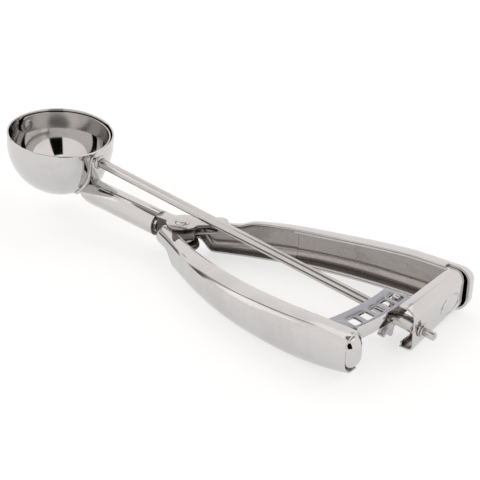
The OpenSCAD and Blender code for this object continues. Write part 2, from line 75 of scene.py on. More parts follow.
def aim_camera():
    azimuth, elevation = math.radians(CAMERA_AZIMUTH), math.radians(CAMERA_ELEVATION)
    back = Vector((
        math.sin(azimuth) * math.cos(elevation),
        -math.cos(azimuth) * math.cos(elevation),
        math.sin(elevation),
    ))
    turn = (-back).to_track_quat("-Z", "Y").to_matrix().to_4x4()
    roll = Matrix.Rotation(math.radians(CAMERA_ROLL), 4, "Z")
    data = bpy.data.cameras.new("camera")
    data.lens = LENS_MM
    data.sensor_width = SENSOR_MM
    data.clip_start = 0.01
    camera = bpy.data.objects.new("camera", data)
    camera.matrix_world = Matrix.Translation(CAMERA_TARGET + back * CAMERA_DISTANCE) @ turn @ roll
    bpy.context.scene.collection.objects.link(camera)
    bpy.context.scene.camera = camera
    return camera


camera = aim_camera()
print("camera at", [round(v / MM, 1) for v in camera.matrix_world.translation], "mm")

# %% [markdown]
# ## Arithmetic with shader sockets
# A finish is mostly arithmetic on noise. This class wraps a socket, so that `1 - mask * 0.3`
# adds the Math nodes by itself. Colours never go through it, because Math makes them grey.

# %% Sockets as numbers
class Value:
    """A float socket of a node tree that does arithmetic."""

    def __init__(self, tree, socket):
        self.tree = tree
        self.socket = socket

    def math(self, operation, *others):
        node = self.tree.nodes.new("ShaderNodeMath")
        node.operation = operation
        for place, term in enumerate((self, *others)):
            if isinstance(term, Value):
                self.tree.links.new(term.socket, node.inputs[place])
            else:
                node.inputs[place].default_value = term
        return Value(self.tree, node.outputs[0])

    def __add__(self, other):
        return self.math("ADD", other)

    def __sub__(self, other):
        return self.math("SUBTRACT", other)

    def __mul__(self, other):
        return self.math("MULTIPLY", other)

    def __truediv__(self, other):
        return self.math("DIVIDE", other)

    def __rsub__(self, other):
        node = self.tree.nodes.new("ShaderNodeMath")
        node.operation = "SUBTRACT"
        node.inputs[0].default_value = other
        self.tree.links.new(self.socket, node.inputs[1])
        return Value(self.tree, node.outputs[0])

    __radd__ = __add__
    __rmul__ = __mul__

    def clamp(self):
        return self.math("ADD", 0.0).clamped()

    def clamped(self):
        self.socket.node.use_clamp = True
        return self

    def between(self, low, high):
        """0 below low, 1 above high, and a smooth step in the middle."""
        node = self.tree.nodes.new("ShaderNodeMapRange")
        node.interpolation_type = "SMOOTHSTEP"
        self.tree.links.new(self.socket, node.inputs["Value"])
        node.inputs["From Min"].default_value = low
        node.inputs["From Max"].default_value = high
        return Value(self.tree, node.outputs["Result"])


# %% [markdown]
# ## A material under construction
# Every finish needs the same few nodes: coordinates, noise, a mix of two colours, a bump and
# one shader. This class adds each with one call and links whatever is a socket, so that the
# recipes below stay short enough to read.

# %% Materials by short calls
class Finish:
    """A material under construction."""

    def __init__(self, name):
        self.material = bpy.data.materials.new(name)
        self.material.use_nodes = True
        self.tree = self.material.node_tree
        self.tree.nodes.clear()

    def node(self, kind, settings=None, inputs=None):
        made = self.tree.nodes.new(kind)
        for name, value in (settings or {}).items():
            setattr(made, name, value)
        for name, value in (inputs or {}).items():
            if isinstance(value, Value):
                self.tree.links.new(value.socket, made.inputs[name])
            elif isinstance(value, bpy.types.NodeSocket):
                self.tree.links.new(value, made.inputs[name])
            else:
                made.inputs[name].default_value = value
        return made

    def value(self, socket):
        return Value(self.tree, socket)

    def object_coordinates(self):
        return self.node("ShaderNodeTexCoord").outputs["Object"]

    def stretched(self, scale, turn=(0, 0, 0)):
        """Object coordinates, turned and then scaled unequally."""
        turned = self.node(
            "ShaderNodeMapping",
            inputs={"Vector": self.object_coordinates(), "Rotation": turn},
        )
        return self.node(
            "ShaderNodeMapping",
            inputs={"Vector": turned.outputs[0], "Scale": scale},
        ).outputs[0]

    def noise(self, vector, scale, detail=2.0, roughness=0.5, distortion=0.0):
        made = self.node("ShaderNodeTexNoise", {"noise_dimensions": "3D"}, {
            "Vector": vector, "Scale": scale, "Detail": detail,
            "Roughness": roughness, "Distortion": distortion,
        })
        return self.value(made.outputs["Fac"])

    def mix(self, factor, first, second):
        made = self.node("ShaderNodeMix", {"data_type": "RGBA"})
        for name, value in (("A", first), ("B", second)):
            socket = [s for s in made.inputs if s.name == name and s.type == "RGBA"][0]
            if isinstance(value, bpy.types.NodeSocket):
                self.tree.links.new(value, socket)
            else:
                socket.default_value = (*value, 1.0)
        self.tree.links.new(factor.socket, made.inputs[0])
        return [s for s in made.outputs if s.type == "RGBA"][0]

    def bump(self, height, depth, strength=1.0):
        return self.node("ShaderNodeBump", inputs={
            "Height": height, "Distance": depth, "Strength": strength,
        }).outputs["Normal"]

    def done(self, **sockets):
        shader = self.node("ShaderNodeBsdfPrincipled", inputs={
            name.replace("_", " "): value for name, value in sockets.items()
        })
        self.node("ShaderNodeOutputMaterial", inputs={"Surface": shader.outputs["BSDF"]})
        return self.material


# %% [markdown]
# ## The finishes
# All but one washer is steel, and each piece was worked in its own way. Pressed sheet is
# buffed until it mirrors, and keeps faint buffing lines and a slight waviness from the press.
# The rod was drawn and ground, so its lines run along it. Small stamped parts are duller and
# One function makes them all, with the lines' direction and strength as inputs. A few more looks made by it paint
# shade and highlights: the inside of the channels, the rack's top and the near-black sides round the pivot.

# %% Metal finishes
LINE_DENSITY = 2600.0
LINE_STRETCH = 0.02
SMUDGE_SCALE = 38.0
WAVE_SCALE = 55.0
SPECK_SCALE = 900.0
SMUDGE_FROM, SMUDGE_TO, SMUDGE_TONE = 0.46, 0.72, 0.35
SPECK_FROM, SPECK_TO, SPECK_TONE, SPECK_ROUGH = 0.68, 0.78, 0.4, 0.08
LINE_HEIGHT, LINE_ROUGH = 0.02, 0.08
BUMP_DEPTH, BUMP_STRENGTH = 0.001, 0.6


def metal(name, colour, dark, rough, along="X", turn=(0, 0, 0), lines=0.25, wave=0.02, smudge=0.05):
    """Worked metal: buffing lines along one axis, faint smudges, specks and press waviness."""
    finish = Finish(name)
    plain = finish.object_coordinates()
    stretch = [LINE_STRETCH if axis == along else 1.0 for axis in "XYZ"]
    fibre = finish.noise(finish.stretched(stretch, turn), LINE_DENSITY, 3.0, 0.6)
    patch = finish.noise(plain, SMUDGE_SCALE, 4.0, 0.6, 0.6).between(SMUDGE_FROM, SMUDGE_TO)
    speck = finish.noise(plain, SPECK_SCALE, 1.0, 0.4).between(SPECK_FROM, SPECK_TO)
    swell = finish.noise(plain, WAVE_SCALE, 1.0, 0.4)
    tone = (patch * SMUDGE_TONE + speck * SPECK_TONE + (fibre - 0.5) * lines).clamp()
    wear = patch * smudge + speck * SPECK_ROUGH + (fibre - 0.5) * LINE_ROUGH * lines
    return finish.done(
        Base_Color=finish.mix(tone, colour, dark),
        Metallic=1.0,
        Roughness=(rough + wear).clamp(),
        Normal=finish.bump(fibre * lines * LINE_HEIGHT + swell * wave, BUMP_DEPTH, BUMP_STRENGTH),
    )


ROD_AXIS = joints["rod_spin"]["axis"]
ROD_TURN = (0.0, math.atan2(ROD_AXIS[2], ROD_AXIS[0]), 0.0)
finishes = {
    "polished_steel": metal(
        "buffed steel sheet", (0.60, 0.595, 0.59), (0.45, 0.435, 0.425), 0.06, lines=0.12
    ),
    "satin_steel": metal(
        "ground steel", (0.55, 0.54, 0.53), (0.40, 0.385, 0.37), 0.17,
        turn=ROD_TURN, lines=0.6, wave=0.004
    ),
    "machined_steel": metal(
        "stamped steel", (0.56, 0.55, 0.54), (0.34, 0.33, 0.32), 0.2,
        along="Y", lines=0.5, wave=0.01, smudge=0.1
    ),
    "spring_wire": metal(
        "spring wire", (0.58, 0.57, 0.56), (0.30, 0.29, 0.28), 0.2,
        along="Z", lines=0.5, wave=0.004, smudge=0.1
    ),
    "bronze_washer": metal(
        "plain bronze", (0.56, 0.48, 0.36), (0.30, 0.25, 0.18), 0.26,
        along="Y", lines=0.5, wave=0.01, smudge=0.1
    ),
}
# The inside of each channel: its streaky, unbuffed grain is real, and its darker colour is painted shade for the
# hollow of the channel.
bare_sheet_and_inner_shade = metal(
    "bare inner sheet with painted shade", (0.36, 0.34, 0.325), (0.18, 0.16, 0.15), 0.22,
    lines=1.7, wave=0.03, smudge=0.1
)
# The rack's level faces take this dark bluish grey, a painted dark reflection. Its bevels and hole walls stay
# buffed bright, as painted highlights round the holes.
rack_top_painted_dark = metal("rack top, painted dark reflection", (0.34, 0.35, 0.385), (0.24, 0.24, 0.27), 0.12, lines=0.3)
# Near-black painted shade: the yoke's upright sides and every face of the moving handle's lugs take it, standing
# for the shadowed gaps round the pivot.
gap_shade_dark = metal("near-black painted gap shade", (0.17, 0.155, 0.15), (0.08, 0.07, 0.07), 0.3, lines=0.3)
pivot_plate = metal(
    "pivot plate", (0.54, 0.54, 0.53), (0.36, 0.35, 0.34), 0.13, lines=0.4, wave=0.04
)
print("finishes:", sorted(finishes))

# %% [markdown]
# ## From a list of rings to a mesh
# Bent sheet is a section carried along a line. Every ring has the same number of points, so
# the skin is a grid of quads, and its ends are closed with one face each. A small rounding at
# each edge matters more than any texture, because polished edges show as thin bright lines.

# %% Mesh helpers
SHARP_ANGLE = math.radians(38)


def new_piece(name, bm, node, recalc=False, finish=None, trim=None):
    """Makes an object of a bmesh, gives it the node's finish and body, and hides the node."""
    if recalc:
        bmesh.ops.recalc_face_normals(bm, faces=bm.faces)
    mesh = bpy.data.meshes.new(name)
    bm.to_mesh(mesh)
    bm.free()
    mesh.shade_smooth()
    mesh.set_sharp_from_angle(angle=SHARP_ANGLE)
    piece = bpy.data.objects.new(name, mesh)
    bpy.context.scene.collection.objects.link(piece)
    return dress(piece, node, finish, trim)


def dress(piece, node, finish=None, trim=None):
    """The trim is one finish or two, for the faces that were marked 1 or 2."""
    worn = piece.data.materials
    looks = [finish or finishes[slot_of_node[node]], *(trim or ())]
    for place, look in enumerate(looks):
        if place < len(worn):
            worn[place] = look
        else:
            worn.append(look)
    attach(piece, body_of_node[node])
    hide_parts(node)
    print(piece.name, "has", len(piece.data.polygons), "faces")
    return piece


def skin(bm, rings, inner=()):
    """Adds quads between rings of equal length, and a face over each end."""
    rows = [[bm.verts.new(point) for point in ring] for ring in rings]
    count = len(rows[0])
    for low, high in zip(rows, rows[1:]):
        for i in range(count):
            j = (i + 1) % count
            bm.faces.new((low[i], low[j], high[j], high[i])).material_index = int(i in inner)
    bm.faces.new(list(reversed(rows[0])))
    bm.faces.new(rows[-1])


# %% [markdown]
# ## Softened copies of the exact solids
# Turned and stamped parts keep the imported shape. A copy is merged, its flat faces are joined
# again, and every sharp edge gets a small bevel, as a tumbled or polished part has.

# %% Softened copies
FLAT_ANGLE = math.radians(0.4)
EDGE_ANGLE = math.radians(32)
MERGE_DISTANCE = 1e-6
LEVEL, SLANTING = 0.95, 0.3


def softened(node, name, edge, finish=None, trim=None):
    """A copy of a CAD node with its sharp edges bevelled by edge millimetres.

    With a trim, its level faces keep the finish, slanting ones get the trim's first look and
    upright ones its second.
    """
    bm = bmesh.new()
    bm.from_mesh(nodes[node].data)
    bmesh.ops.remove_doubles(bm, verts=bm.verts, dist=MERGE_DISTANCE)
    bmesh.ops.dissolve_limit(bm, angle_limit=FLAT_ANGLE, verts=bm.verts, edges=bm.edges)
    sharp = [e for e in bm.edges if len(e.link_faces) == 2 and e.calc_face_angle(0.0) > EDGE_ANGLE]
    bmesh.ops.bevel(
        bm, geom=sharp, offset=edge * MM, segments=2, profile=0.5, affect="EDGES",
        clamp_overlap=True,
    )
    # Colouring faces by which way they point paints light and shade: bright bevels are painted highlights, and
    # dark upright sides painted shade.
    for face in bm.faces if trim else ():
        face.normal_update()
        slope = abs(face.normal.z)
        face.material_index = 0 if slope > LEVEL else 1 if slope > SLANTING else 2
    return new_piece(name, bm, node, finish=finish, trim=trim)


buffed = finishes["polished_steel"]
SOFTENED = {
    "blade_pin": ("blade_pivot_pin", 0.25),
    "neck_tube": ("neck_tube_skin", 0.15),
    # The yoke: level faces plain plate, bevels buffed bright as painted edge highlights, upright sides near-black
    # as painted gap shade.
    "pivot_yoke": ("pivot_yoke_plates", 0.3, pivot_plate, [buffed, gap_shade_dark]),
    "rear_bush": ("rear_collar", 0.15),
    "pivot_rivet": ("pivot_rivet_heads", 0.2),
    "pivot_spacer": ("pivot_sleeve", 0.1),
    # The rack: its top painted dark as a reflection, its bevels and hole walls buffed bright as painted
    # highlights.
    "gear_rack": ("curved_rack", 0.45, rack_top_painted_dark, [buffed, buffed]),
    "drive_rod": ("drive_rod_turned", 0.1),
    "thrust_washer": ("thrust_ring", 0.1),
    "retaining_clip": ("journal_clip", 0.1),
    "bowl_bracket": ("bowl_strap", 0.2),
}
for node, settings in SOFTENED.items():
    softened(node, *settings)

# %% [markdown]
# ## The handles' line and section
# Both handles follow one curve in plan, mirrored: they leave the pivot steeply and sweep
# round until they run straight back. Across it, the sheet is a channel with large radii
# above and below. The sheet is drawn as a middle line with a normal at each point, and then
# thickened, so that the inside and the outside stay parallel.

# %% The handle line
PIVOT = Vector(joints["handle_squeeze"]["pos_m"]) / MM
HANDLE_LEN = 115.0
SPREAD = 33.0
NOSE_POINT, FIRST_BEND, SECOND_BEND = (-6, 4), (25.8, 17.4), 0.46 * HANDLE_LEN
LINE = [Vector(p) for p in (NOSE_POINT, FIRST_BEND, (SECOND_BEND, SPREAD), (HANDLE_LEN, SPREAD))]
DEPTH_FRONT, DEPTH_REAR = 5.6, 9.2
NOSE_LOW, NOSE_HIGH = 6.6, 16.0
HEIGHT_REAR = 21.2
DROP_START, DROP_LEN = 2.5, 6.5
RISE_START, RISE_END = 18.0, HANDLE_LEN - 15.0
SWELL, SWELL_START, SWELL_LEN, SWELL_FADE = 1.7, 20.0, 8.0, 45.0
END_RISE, END_START = 3.4, HANDLE_LEN - 30.0
SHEET = 1.0
NEST = 1.15
TOP_R, LOW_R = 6.0, 7.5
LOW_SHARE = 0.38
LUG_T = 1.2
SLIDE_GAP = 0.2


def blend(a, b, t):
    return a + (b - a) * t


def ease(u):
    return (1 - math.cos(math.pi * min(1.0, max(0.0, u)))) / 2


def line_point(t):
    a, b, c, d = LINE
    return (1 - t) ** 3 * a + 3 * (1 - t) ** 2 * t * b + 3 * (1 - t) * t * t * c + t ** 3 * d


def line_normal(t):
    a, b, c, d = LINE
    slope = (1 - t) ** 2 * (b - a) + 2 * (1 - t) * t * (c - b) + t * t * (d - c)
    return Vector((-slope.y, slope.x)).normalized()


def edge_low(x, moving):
    drop = NOSE_LOW * (1 - ease((x - DROP_START) / DROP_LEN))
    return drop + (end_lift(x) if moving else 0.0)


def end_lift(x):
    """The moving handle's lower edge curves up towards its rear end."""
    return END_RISE * max(0.0, (x - END_START) / (HANDLE_LEN - END_START)) ** 2


def edge_high(x, moving):
    share = (x - RISE_START) / (RISE_END - RISE_START)
    rise = blend(NOSE_HIGH, HEIGHT_REAR, min(1.0, max(0.0, share)))
    behind = x - SWELL_START
    swell = SWELL * ease(behind / SWELL_LEN) * (1 - ease((behind - SWELL_LEN) / SWELL_FADE))
    return rise + (0.0 if moving else swell)


# %% [markdown]
# ## Places for the section
# A place holds all that one ring of the sheet needs: a point in plan, the direction in which
# the channel is deep, its depth, the heights of its edges and the radii of its corners.

# %% A place
DEPTH_GAIN = 1.3


class Place:
    """Where and how large the channel's section is."""

    def __init__(self, p, v, depth, low, high, r_low=LOW_R, foot=0.0):
        height = high - low - 0.2
        self.p, self.v, self.depth, self.low, self.high, self.foot = p, v, depth, low, high, foot
        self.r_low = min(r_low, height * LOW_SHARE, depth - 0.3)
        self.r_high = min(TOP_R, height * (1 - LOW_SHARE), depth - 0.3)


def line_place(t, moving=False):
    p = line_point(t)
    depth = blend(DEPTH_FRONT, DEPTH_REAR, ease(t * DEPTH_GAIN))
    return Place(p, line_normal(t), depth, edge_low(p.x, moving), edge_high(p.x, moving))


# %% Places round the rear corner
CROSS_X = HANDLE_LEN + 3.6
TURN_R, FAN_R = 4.0, 0.4
SHELL_DEPTH, SLEEVE_DEPTH = 9.9, 9.0
CORNER_STEPS = 18


def fan_place(p, v, r_low=LOW_R, foot=0.0):
    """A section that spans from the point p along v, whatever its length."""
    place = Place(p, v / DEPTH_REAR, DEPTH_REAR, 0.0, HEIGHT_REAR, LOW_R, foot)
    place.r_low = r_low
    return place


def turn_place(angle, depth):
    """Rear corner: the flanges fan out from its inner side while the web turns."""
    a = math.radians(angle)
    n = Vector((math.sin(a), math.cos(a)))
    p = Vector((CROSS_X - FAN_R, SPREAD - FAN_R)) + n * FAN_R
    web = Vector((CROSS_X + depth - TURN_R, SPREAD + DEPTH_REAR - TURN_R)) + n * TURN_R
    return fan_place(p, web - p)


def cross_place(y, depth, r_low=LOW_R, foot=0.0):
    return fan_place(Vector((CROSS_X, y)), Vector((depth, 0)), r_low, foot)


def run(t0, t1, steps, moving=False):
    return [line_place(blend(t0, t1, i / steps), moving) for i in range(steps + 1)]


def corner(depth):
    return [turn_place(90 * i / CORNER_STEPS, depth) for i in range(CORNER_STEPS + 1)]


print("the handles' line ends at", tuple(round(v, 2) for v in line_point(1.0)))

# %% [markdown]
# ## The sheet's section
# Real sheet has no sharp corner: its bends are arcs, and each cut edge has a small round of
# its own. The outline is drawn once, as points, and every ring of the sweep uses it.

# %% The sheet's section
ARC_STEPS = 10
EDGE_R = 0.3
EDGE_STEPS = 3


def arc(x, z, r, start):
    """Points of a quarter circle with their normals."""
    angles = [math.radians(start + 90 * i / ARC_STEPS) for i in range(ARC_STEPS + 1)]
    return [
        (Vector((x + r * math.cos(a), z + r * math.sin(a))), Vector((math.cos(a), math.sin(a))))
        for a in angles
    ]


def middle_line(place, inset):
    half = inset + SHEET / 2
    d, low, high = place.depth, place.low, place.high
    return [
        (Vector((EDGE_R + place.foot, low + half)), Vector((0, -1))),
        *arc(d - place.r_low, low + place.r_low, place.r_low - half, -90),
        *arc(d - place.r_high, high - place.r_high, place.r_high - half, 0),
        (Vector((EDGE_R, high - half)), Vector((0, 1))),
    ]


def rounded_edge(p, n, half, radius):
    """Two small quarter rounds over the sheet's edge, from the side n to the side -n."""
    outward = Vector((-1, 0))
    turns = [math.pi / 2 * i / EDGE_STEPS for i in range(1, EDGE_STEPS)]
    full = [*turns, math.pi / 2]
    near, far = p + n * (half - radius), p - n * (half - radius)
    first = [near + radius * (math.cos(a) * n + math.sin(a) * outward) for a in full]
    second = [far + radius * (math.sin(a) * outward - math.cos(a) * n) for a in reversed(turns)]
    return first + [far + radius * outward] + second


def sheet_ring(place, inset, pinch=0.0):
    """Closed outline of the channel's sheet, thinned by pinch on every side."""
    path = middle_line(place, inset)
    half = SHEET / 2 - pinch
    radius = max(EDGE_R - pinch, 0.02)
    outside = [p + n * half for p, n in path]
    inside = [p - n * half for p, n in reversed(path)]
    upper = rounded_edge(path[-1][0], path[-1][1], half, radius)
    lower = list(reversed(rounded_edge(path[0][0], path[0][1], half, radius)))
    return outside + upper + inside + lower


def place_ring(place, inset, side, pinch=0.0, shift=0.0):
    """Puts a section at its place, on the +Y side or mirrored to the -Y side."""
    p, v = place.p, place.v
    p = p + Vector((v.y, -v.x)).normalized() * shift
    return [
        Vector((PIVOT.x + p.x + v.x * q.x, side * (p.y + v.y * q.x), q.y)) * MM
        for q in sheet_ring(place, inset, pinch)
    ]


def channel(bm, places, inset, side):
    """Sweeps the channel through the places and rounds both of its cut ends."""
    turns = [math.pi / 2 * i / EDGE_STEPS for i in range(EDGE_STEPS + 1)]
    rings = [
        place_ring(places[0], inset, side, EDGE_R * (1 - math.sin(a)), EDGE_R * (1 - math.cos(a)))
        for a in turns
    ]
    rings += [place_ring(place, inset, side) for place in places[1:-1]]
    rings += [
        place_ring(places[-1], inset, side, EDGE_R * (1 - math.cos(a)), EDGE_R * (math.sin(a) - 1))
        for a in turns
    ]
    count, edge = len(middle_line(places[0], inset)), 2 * EDGE_STEPS
    start = edge + (count if side > 0 else 0)
    if side < 0:
        rings = [list(reversed(ring)) for ring in rings]
    skin(bm, rings, range(start, start + count - 1))


# %% [markdown]
# ## Cutting a swept sheet
# A press cuts the sheet after it is bent, so the holes and the straight cuts are booleans with
# plain cutters. The exact solver keeps the long smooth faces beside each cut. The result is
# read from the evaluated object, and becomes the piece's own mesh without a modifier.

# %% Cutters
REACH = PIVOT.x - joints["rod_spin"]["pos_m"][0] / MM
BOWL = Vector(joints["rod_spin"]["pos_m"]) / MM
TILT = -ROD_TURN[1]
ALONG_ROD = Matrix.Rotation(math.pi / 2 + TILT, 4, "Y")
PIVOT_MIDDLE = Vector((PIVOT.x, 0, 12))
THROUGH = 40
CUTTER_SIDES = 96


def rod_place(s):
    """The point on the rod's axis that is s millimetres behind the bowl's centre."""
    return BOWL + Vector((math.cos(TILT), 0, -math.sin(TILT))) * s


def as_object(bm, name):
    mesh = bpy.data.meshes.new(name)
    bm.to_mesh(mesh)
    bm.free()
    made = bpy.data.objects.new(name, mesh)
    bpy.context.scene.collection.objects.link(made)
    return made


def round_cutter(centre, radius, length, turn=None):
    bm = bmesh.new()
    bmesh.ops.create_cone(
        bm, cap_ends=True, segments=CUTTER_SIDES,
        radius1=radius * MM, radius2=radius * MM, depth=length * MM,
        matrix=Matrix.Translation(centre * MM) @ (turn or Matrix.Identity(4)),
    )
    return as_object(bm, "round_cutter")


def block_cutter(low, high):
    low, high = Vector(low), Vector(high)
    bm = bmesh.new()
    size = Matrix.Diagonal((*((high - low) * MM), 1))
    middle = Vector((PIVOT.x, 0, 0)) + (low + high) / 2
    bmesh.ops.create_cube(bm, size=1, matrix=Matrix.Translation(middle * MM) @ size)
    return as_object(bm, "block_cutter")


def cut(piece, cutter):
    """Subtracts the cutter and keeps the result as the piece's own mesh."""
    boolean = piece.modifiers.new("cut", "BOOLEAN")
    boolean.operation = "DIFFERENCE"
    boolean.solver = "EXACT"
    boolean.object = cutter
    graph = bpy.context.evaluated_depsgraph_get()
    mesh = bpy.data.meshes.new_from_object(piece.evaluated_get(graph))
    piece.modifiers.clear()
    piece.data = mesh
    mesh.set_sharp_from_angle(angle=SHARP_ANGLE)
    bpy.data.objects.remove(cutter)


# %% [markdown]
# ## The fixed handle
# The outer shell is one channel from the pivot to just round the rear corner. Near the pivot
# it is cut round, to leave room for the lugs of the other handle.

# %% Fixed handle's shell
RUN_STEPS = 72
PIVOT_RELIEF = 8.1
WRAP_END = 2.5
bm = bmesh.new()
places = run(0, 1, RUN_STEPS) + corner(SHELL_DEPTH) + [cross_place(SPREAD - 2 * FAN_R, SHELL_DEPTH)]
channel(bm, places, 0.0, 1)
fixed_shell = new_piece("fixed_handle_channel", bm, "fixed_handle_shell", trim=[bare_sheet_and_inner_shade])
cut(fixed_shell, round_cutter(PIVOT_MIDDLE, PIVOT_RELIEF, THROUGH))
cut(fixed_shell, block_cutter((CROSS_X - 1, SPREAD - 4, -1), (CROSS_X + 20, SPREAD + WRAP_END, 24)))

# %% [markdown]
# ## The sleeve arm
# A second sheet lies inside the fixed handle, turns the corner and ends as a hood over the
# pinion. Its lower edge is cut back and turned up into a lip, its web carries the rear
# bearing, and a plain oval rim is pressed into the web for stiffness.

# %% Sleeve arm
LEG_LEN = 55.0
LEG_START = 1 - LEG_LEN / HANDLE_LEN
LEG_STEPS = 30
SLEEVE_MOUTH = 5.6
MOUTH_LOW_R = 2.5 + NEST
FOOT = DEPTH_REAR - NEST - 6.5
FOOT_END = SPREAD - SLEEVE_MOUTH - 2.0
LIP_HIGH = 2.6
SLEEVE_BACK = CROSS_X + SLEEVE_DEPTH * (1 - NEST / DEPTH_REAR)
REAR_BORE_R = 2.78


def sleeve_cross(y):
    share = (SPREAD - 2 * FAN_R - y) / (SPREAD - 2 * FAN_R + SLEEVE_MOUTH)
    foot = FOOT if y < FOOT_END else 0.0
    return cross_place(y, SLEEVE_DEPTH, blend(LOW_R, MOUTH_LOW_R, share), foot)


def ring_of(bm, path, radius, sides=10):
    """A closed round bead along a loop of points in the plane of constant X."""
    count = len(path)
    out = Vector((1, 0, 0))
    rows = []
    for i, p in enumerate(path):
        along = (path[(i + 1) % count] - path[i - 1]).normalized()
        across = along.cross(out)
        rows.append([
            bm.verts.new((p + radius * (math.cos(a) * across + math.sin(a) * out)) * MM)
            for a in [math.tau * j / sides for j in range(sides)]
        ])
    for i in range(count):
        near, far = rows[i], rows[(i + 1) % count]
        for j in range(sides):
            k = (j + 1) % sides
            bm.faces.new((near[j], near[k], far[k], far[j]))


bm = bmesh.new()
places = run(LEG_START, 1, LEG_STEPS) + corner(SLEEVE_DEPTH)
stops = [SPREAD - 2 * FAN_R, FOOT_END + 0.05, FOOT_END - 0.05, 18.0, 12.0, 6.0, 0.0, -SLEEVE_MOUTH]
channel(bm, places + [sleeve_cross(y) for y in stops], NEST, 1)
sleeve = new_piece("rear_sleeve", bm, "sleeve_arm", trim=[bare_sheet_and_inner_shade])
wall_s = (REACH + SLEEVE_BACK - SHEET / 2) / math.cos(TILT)
cut(sleeve, round_cutter(rod_place(wall_s), REAR_BORE_R, 8, ALONG_ROD))

# %% Lip and oval rim of the sleeve
OVAL_CENTRE = Vector((PIVOT.x + SLEEVE_BACK - 0.1, 23.4, 9.8))
OVAL_LONG, OVAL_SHORT, OVAL_BEAD, OVAL_STEPS = 7.2, 4.0, 0.5, 64
LIP_THICK, LIP_ROUND = 0.9, 0.35
bm = bmesh.new()
bm.from_mesh(sleeve.data)
lip = bmesh.new()
low = Vector((PIVOT.x + CROSS_X + FOOT + 0.02, -SLEEVE_MOUTH + 0.15, NEST + 0.3))
size = Vector((LIP_THICK, 2 * SLEEVE_MOUTH - 0.3, LIP_HIGH - 0.3))
lip_place = Matrix.Translation((low + size / 2) * MM) @ Matrix.Diagonal((*(size * MM), 1))
bmesh.ops.create_cube(lip, size=1, matrix=lip_place)
bmesh.ops.bevel(
    lip, geom=lip.edges[:], offset=LIP_ROUND * MM, segments=3, profile=0.5, affect="EDGES"
)
spare = bpy.data.meshes.new("lip")
lip.to_mesh(spare)
lip.free()
bm.from_mesh(spare)
ring_of(bm, [
    OVAL_CENTRE + Vector((0, OVAL_LONG * math.cos(a), OVAL_SHORT * math.sin(a)))
    for a in [math.tau * i / OVAL_STEPS for i in range(OVAL_STEPS)]
], OVAL_BEAD)
bm.to_mesh(sleeve.data)
bm.free()
sleeve.data.set_sharp_from_angle(angle=SHARP_ANGLE)
print("sleeve with lip and rim:", len(sleeve.data.polygons), "faces")

# %% [markdown]
# ## The moving handle
# Its shell is the fixed one's mirror image, with an open rear end. Two round lugs at the nose
# take the rivet, and a broad tongue joins the upper lug to the flange.

# %% Moving handle's shell
SHELL_END = HANDLE_LEN + 2.5
LUG_R = 7.2
LUG_HOLE = 2.06
TONGUE_TURN, TONGUE_L, TONGUE_W = -48.0, 14.0, 10.0
LUG_STEPS = 96
LUG_ROUND = 0.25
LUG_EDGE_ANGLE = math.radians(60)
GAP_SHADE_LOOK = 2


def lug_radius(angle, tongue):
    """Distance of the lug's outline from the rivet's axis, at an angle from the tongue."""
    c, s = math.cos(angle), abs(math.sin(angle))
    if not tongue or c <= 0:
        return LUG_R
    return max(LUG_R, min(TONGUE_L / c, TONGUE_W / 2 / max(s, 1e-6)))


def lug_plate(low, high, tongue):
    """A bevelled plate round the rivet, as a mesh."""
    bm = bmesh.new()
    loops = []
    for z in (low, high):
        for outer in (False, True):
            loop = []
            for i in range(LUG_STEPS):
                angle = math.tau * i / LUG_STEPS
                r = lug_radius(angle, tongue) if outer else LUG_HOLE
                turned = angle + math.radians(TONGUE_TURN)
                point = Vector((PIVOT.x + r * math.cos(turned), r * math.sin(turned), z))
                loop.append(bm.verts.new(point * MM))
            loops.append(loop)
    for a, b in ((1, 0), (0, 2), (2, 3), (3, 1)):
        for i in range(LUG_STEPS):
            j = (i + 1) % LUG_STEPS
            bm.faces.new((loops[a][i], loops[a][j], loops[b][j], loops[b][i]))
    bmesh.ops.recalc_face_normals(bm, faces=bm.faces)
    sharp = [e for e in bm.edges if e.calc_face_angle(0.0) > LUG_EDGE_ANGLE]
    bmesh.ops.bevel(bm, geom=sharp, offset=LUG_ROUND * MM, segments=3, profile=0.5, affect="EDGES")
    # Every face of the lug takes the near-black look, which is painted shade for the gap round the lugs.
    for face in bm.faces:
        face.material_index = GAP_SHADE_LOOK
    mesh = bpy.data.meshes.new("lug")
    bm.to_mesh(mesh)
    bm.free()
    return mesh


bm = bmesh.new()
tail_point = Vector((SHELL_END, SPREAD))
tail = Place(tail_point, Vector((0, 1)), DEPTH_REAR, end_lift(SHELL_END), HEIGHT_REAR)
channel(bm, run(0, 1, RUN_STEPS, True) + [tail], 0.0, -1)
bm.from_mesh(lug_plate(NOSE_HIGH - LUG_T, NOSE_HIGH - 0.02, True))
bm.from_mesh(lug_plate(NOSE_LOW + 0.02, NOSE_LOW + LUG_T, False))
# The channel's inner faces take the darker inner sheet (painted shade), the lugs the near-black painted gap shade.
looks = [bare_sheet_and_inner_shade, gap_shade_dark]
moving_shell = new_piece("moving_handle_channel", bm, "moving_handle_shell", trim=looks)
cut(moving_shell, round_cutter(PIVOT_MIDDLE, LUG_HOLE, THROUGH))

# %% [markdown]
# ## The rack arm
# A second sheet lies inside the moving handle too. At the rear it turns through more than a
# right angle, so that its end meets the curved rack. It is the same swept section, with places
# that go round a small arc, and the rack itself is a softened copy of its solid.

# %% Rack arm
LEG_STOP = 0.985
BAND_R = 6.0
BAND_TURN = 128.0
BAND_STEPS = 24
BAND_TAIL = 4.3
BAND_FLANGE = 5.6
BAND_TOP = 20.72
BAND_CENTRE = Vector((HANDLE_LEN - 1.2, SPREAD + DEPTH_REAR - NEST - BAND_R))


